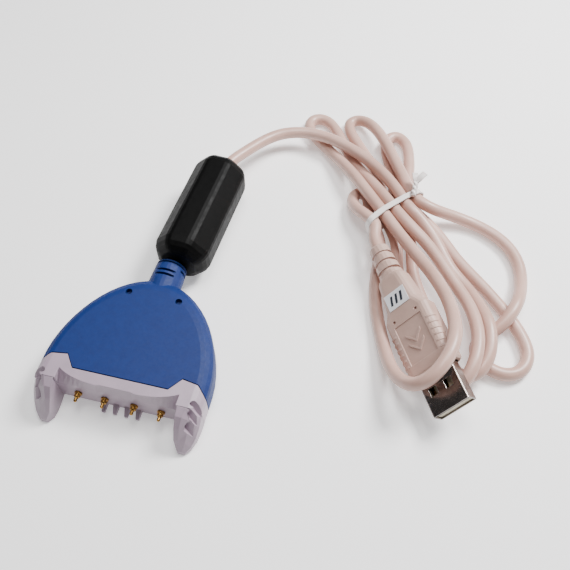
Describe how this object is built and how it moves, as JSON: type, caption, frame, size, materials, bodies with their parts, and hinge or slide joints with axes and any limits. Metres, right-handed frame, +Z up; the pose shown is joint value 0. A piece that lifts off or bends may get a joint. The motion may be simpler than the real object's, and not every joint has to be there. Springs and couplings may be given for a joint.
{
  "type": "usb microcontroller programmer",
  "caption": "Clip-on programming head with sprung contact pins between two claw arms, joined by a ferrite-beaded, tied cable to a flat rectangular plug.",
  "frame": {"origin": "middle of the clip head's footprint, at the height of the table that the head's arm tips stand on", "axes": "+Y runs from the head's contact pins to its cable boot, +X is to the head's right seen from behind its pins, +Z is up, out of the head's broad top face"},
  "size_m": [0.1369, 0.1394, 0.0201],
  "materials": {
    "blue_vinyl": "fine matte texture",
    "grey_polycarbonate": "satin",
    "black_nylon": "matte",
    "solder_mask_green": "satin",
    "chip_epoxy": "matte",
    "crystal_can": "satin",
    "tantalum_yellow": "satin",
    "resistor_film": "satin",
    "crimp_brass": "satin",
    "wire_red": "satin",
    "wire_white": "satin",
    "wire_green": "satin",
    "wire_black": "satin",
    "ferrite_cover_vinyl": "semi-matte",
    "sintered_ferrite": "matte",
    "beige_plug_vinyl": "fine matte texture",
    "label_paper": "matte print",
    "nickel_plate": "polished",
    "ivory_plastic": "satin",
    "natural_polyethylene": "satin",
    "beige_cable_vinyl": "satin",
    "tie_plastic": "satin",
    "gold_plate": "bright plate",
    "spring_steel": "drawn wire",
    "contact_gold": "bright plate"
  },
  "bodies": {
    "programmer": {"head_jacket": "blue_vinyl", "nose_housing": "grey_polycarbonate", "pin_carrier": "black_nylon", "circuit_board": "solder_mask_green", "microcontroller_chip": "chip_epoxy", "interface_chip": "chip_epoxy", "crystal": "crystal_can", "voltage_regulator": "chip_epoxy", "capacitor_left": "tantalum_yellow", "capacitor_right": "tantalum_yellow", "resistor_1": "resistor_film", "resistor_2": "resistor_film", "resistor_3": "resistor_film", "resistor_4": "resistor_film", "cable_crimp": "crimp_brass", "wire_red": "wire_red", "wire_white": "wire_white", "wire_green": "wire_green", "wire_black": "wire_black", "ferrite_cover": "ferrite_cover_vinyl", "ferrite_core": "sintered_ferrite", "plug_overmould": "beige_plug_vinyl", "plug_label": "label_paper", "plug_shell": "nickel_plate", "plug_tongue": "ivory_plastic", "plug_contact_1": "contact_gold", "plug_contact_2": "contact_gold", "plug_contact_3": "contact_gold", "plug_contact_4": "contact_gold", "plug_premould": "natural_polyethylene", "usb_cable": "beige_cable_vinyl", "twist_tie": "tie_plastic", "pin_barrel_1": "gold_plate", "pin_barrel_2": "gold_plate", "pin_barrel_3": "gold_plate", "pin_barrel_4": "gold_plate", "pin_spring_1": "spring_steel", "pin_spring_2": "spring_steel", "pin_spring_3": "spring_steel", "pin_spring_4": "spring_steel"},
    "plunger_1": {"pin_plunger_1": "gold_plate"},
    "plunger_2": {"pin_plunger_2": "gold_plate"},
    "plunger_3": {"pin_plunger_3": "gold_plate"},
    "plunger_4": {"pin_plunger_4": "gold_plate"}
  },
  "joints": [
    {"name": "pin_slide_1", "type": "slide", "parent": "programmer", "child": "plunger_1", "axis": [0, 1, 0], "range_m": [0, 0.0012], "stiffness_N_per_m": 300, "springref_m": -0.002},
    {"name": "pin_slide_2", "type": "slide", "parent": "programmer", "child": "plunger_2", "axis": [0, 1, 0], "range_m": [0, 0.0012], "stiffness_N_per_m": 300, "springref_m": -0.002},
    {"name": "pin_slide_3", "type": "slide", "parent": "programmer", "child": "plunger_3", "axis": [0, 1, 0], "range_m": [0, 0.0012], "stiffness_N_per_m": 300, "springref_m": -0.002},
    {"name": "pin_slide_4", "type": "slide", "parent": "programmer", "child": "plunger_4", "axis": [0, 1, 0], "range_m": [0, 0.0012], "stiffness_N_per_m": 300, "springref_m": -0.002}
  ]
}
